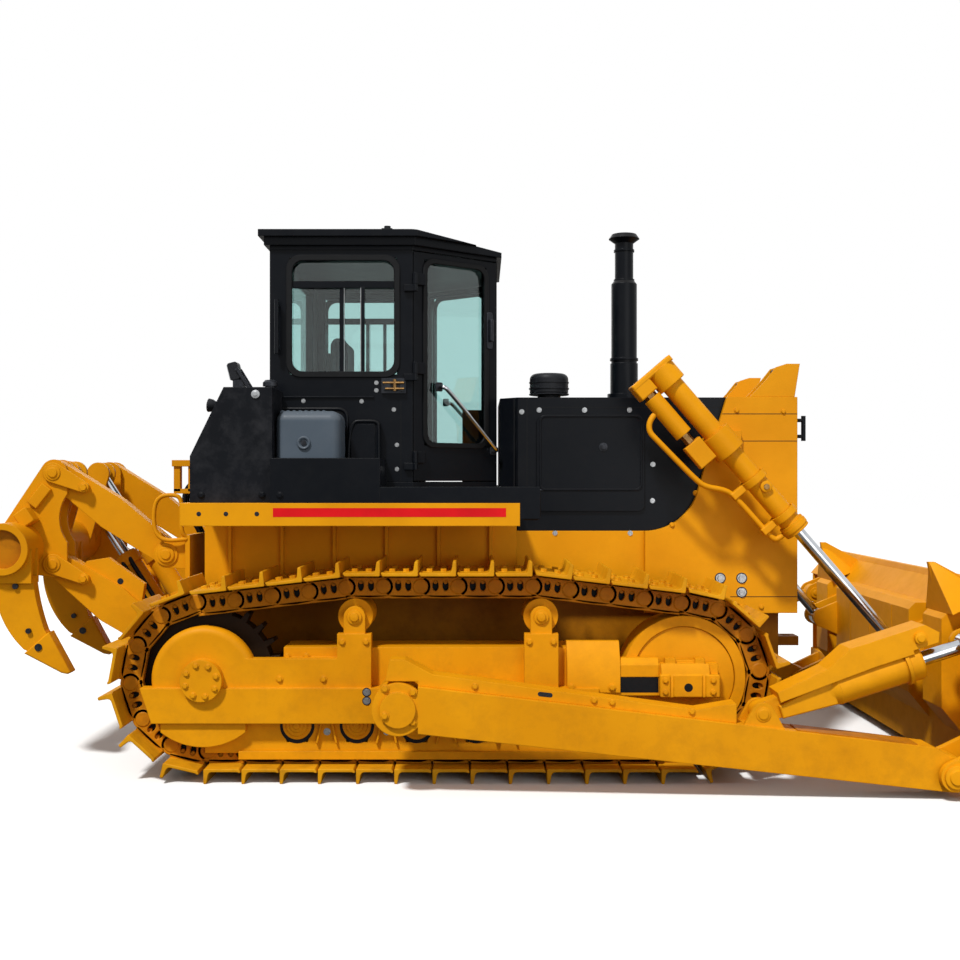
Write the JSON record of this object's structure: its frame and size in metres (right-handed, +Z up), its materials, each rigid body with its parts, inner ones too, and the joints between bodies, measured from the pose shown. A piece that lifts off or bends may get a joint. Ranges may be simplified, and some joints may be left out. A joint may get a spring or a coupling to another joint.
{
  "type": "bulldozer",
  "caption": "Crawler bulldozer with lugged tracks, a closed cab, a straight tilting blade on push arms with hydraulic cylinders, and a parallel-linkage ripper at the rear.",
  "frame": {"origin": "on the ground under the middle of the machine's overall length and width", "axes": "+X forward towards the blade, +Y to the machine's left, +Z up"},
  "size_m": [6.02, 3.724, 3.331],
  "materials": {
    "yellow_paint": "satin golden-yellow paint",
    "black_paint": "satin blue-black paint",
    "track_steel": "thin golden paint over forged chain and shoes",
    "edge_steel": "painted hardened steel",
    "rod_chrome": "polished hard chrome",
    "engine_casting": "dark painted casting",
    "radiator_metal": "black finned core",
    "black_plastic": "matt black",
    "seat_cloth": "woven dark cloth",
    "window_glass": "clear, faintly green"
  },
  "bodies": {
    "chassis": {"hull_frame": "yellow_paint", "engine_block": "engine_casting", "hood": "black_paint", "engine_side_panels": "black_paint", "lower_side_panels": "yellow_paint", "radiator_guard": "yellow_paint", "radiator_core": "radiator_metal", "radiator_grille": "yellow_paint", "exhaust_stack": "black_paint", "air_precleaner": "black_plastic", "lamp_brackets": "yellow_paint", "head_lamps": "black_plastic", "fenders": "yellow_paint", "fuel_tank": "black_paint", "rear_lamps": "black_plastic", "side_boxes": "black_paint", "side_steps": "black_paint", "hydraulic_tank": "black_paint", "cab_floor": "black_paint", "cab_roof": "black_paint", "cab_rear_wall": "black_paint", "cab_side_right": "black_paint", "cab_side_left": "black_paint", "cab_front_wall": "black_paint", "cab_glass": "window_glass", "seat_frame": "black_paint", "seat_cushion": "seat_cloth", "seat_back": "seat_cloth", "control_console": "black_plastic", "handrails": "black_paint", "final_drives": "yellow_paint", "sprockets": "track_steel", "front_idlers": "yellow_paint", "track_rollers": "yellow_paint", "track_frame_right": "yellow_paint", "track_frame_left": "yellow_paint", "track_right": "track_steel", "track_left": "track_steel", "lift_yokes": "yellow_paint", "ripper_bracket": "yellow_paint"},
    "right_arm": {"push_arm_right": "yellow_paint", "hose_guard": "yellow_paint"},
    "blade_body": {"blade": "yellow_paint", "cutting_edge": "edge_steel", "push_arm_left": "yellow_paint", "pitch_brace": "yellow_paint"},
    "tilt_barrel_body": {"tilt_barrel": "yellow_paint"},
    "tilt_rod_body": {"tilt_rod": "rod_chrome"},
    "lift_barrel_body": {"lift_barrels": "yellow_paint"},
    "lift_rod_body": {"lift_rods": "rod_chrome"},
    "ripper_arm_body": {"ripper_arm": "yellow_paint"},
    "ripper_link_body": {"ripper_link": "yellow_paint"},
    "ripper_beam_body": {"ripper_beam": "yellow_paint", "ripper_shanks": "yellow_paint"},
    "ripper_barrel_body": {"ripper_barrels": "yellow_paint"},
    "ripper_rod_body": {"ripper_rods": "rod_chrome"},
    "door_right_body": {"door_right": "black_paint", "door_glass_right": "window_glass"},
    "door_left_body": {"door_left": "black_paint", "door_glass_left": "window_glass"}
  },
  "joints": [
    {"name": "blade_lift", "type": "hinge", "parent": "chassis", "child": "right_arm", "pos_m": [-0.466, -1.52, 0.48], "axis": [0, -1, 0], "range_deg": [-9, 20]},
    {"name": "blade_tilt", "type": "hinge", "parent": "right_arm", "child": "blade_body", "pos_m": [-0.466, 1.52, 0.48], "axis": [0.6933, -0.7161, -0.0813], "range_deg": [-6.7, 6.7]},
    {"name": "tilt_barrel_turn", "type": "hinge", "parent": "right_arm", "child": "tilt_barrel_body", "pos_m": [1.478, -1.52, 0.452], "axis": [0.2754, -0.435, -0.8573], "range_deg": [-3.55, 3.55]},
    {"name": "tilt_rod_slide", "type": "slide", "parent": "tilt_barrel_body", "child": "tilt_rod_body", "axis": [0.9509, 0, 0.3094], "range_m": [-0.056, 0.056]},
    {"name": "lift_barrel_turn", "type": "hinge", "parent": "chassis", "child": "lift_barrel_body", "pos_m": [1.41, 0, 1.92], "axis": [0, -1, 0], "range_deg": [-12.21, 26.53]},
    {"name": "lift_rod_slide", "type": "slide", "parent": "lift_barrel_body", "child": "lift_rod_body", "axis": [0.6523, 0, -0.7579], "range_m": [-0.8028, 0.364]},
    {"name": "ripper_lift", "type": "hinge", "parent": "chassis", "child": "ripper_arm_body", "pos_m": [-1.951, 0, 0.684], "axis": [0, 1, 0], "range_deg": [-65, 0]},
    {"name": "ripper_link_turn", "type": "hinge", "parent": "chassis", "child": "ripper_link_body", "pos_m": [-1.951, 0, 1.244], "axis": [0, 1, 0], "range_deg": [-65.5, 0.5]},
    {"name": "ripper_beam_turn", "type": "hinge", "parent": "ripper_arm_body", "child": "ripper_beam_body", "pos_m": [-2.641, 0, 1.185], "axis": [0, 1, 0], "range_deg": [-0.5, 65.5]},
    {"name": "ripper_barrel_turn", "type": "hinge", "parent": "chassis", "child": "ripper_barrel_body", "pos_m": [-1.951, 0, 0.684], "axis": [0, 1, 0], "range_deg": [-44.64, 0.5]},
    {"name": "ripper_rod_slide", "type": "slide", "parent": "ripper_barrel_body", "child": "ripper_rod_body", "axis": [-0.5452, 0, 0.8383], "range_m": [-0.4901, 0.005]},
    {"name": "door_right_swing", "type": "hinge", "parent": "chassis", "child": "door_right_body", "pos_m": [-0.4134, -0.8696, 2.3], "axis": [0, 0, -1], "range_deg": [0, 125]},
    {"name": "door_left_swing", "type": "hinge", "parent": "chassis", "child": "door_left_body", "pos_m": [-0.4134, 0.8696, 2.3], "axis": [0, 0, 1], "range_deg": [0, 125]}
  ],
  "couplings": [
    {"joint": "tilt_barrel_turn", "follows": "blade_tilt", "ratio": 0.45469},
    {"joint": "tilt_rod_slide", "follows": "blade_tilt", "m_per_rad": -0.43634},
    {"joint": "lift_barrel_turn", "follows": "blade_lift", "ratio": 1.3013},
    {"joint": "lift_rod_slide", "follows": "blade_lift", "m_per_rad": -2.2854},
    {"joint": "ripper_link_turn", "follows": "ripper_lift", "ratio": 1},
    {"joint": "ripper_beam_turn", "follows": "ripper_lift", "ratio": -1},
    {"joint": "ripper_barrel_turn", "follows": "ripper_lift", "ratio": 0.67905},
    {"joint": "ripper_rod_slide", "follows": "ripper_lift", "m_per_rad": 0.42761}
  ]
}
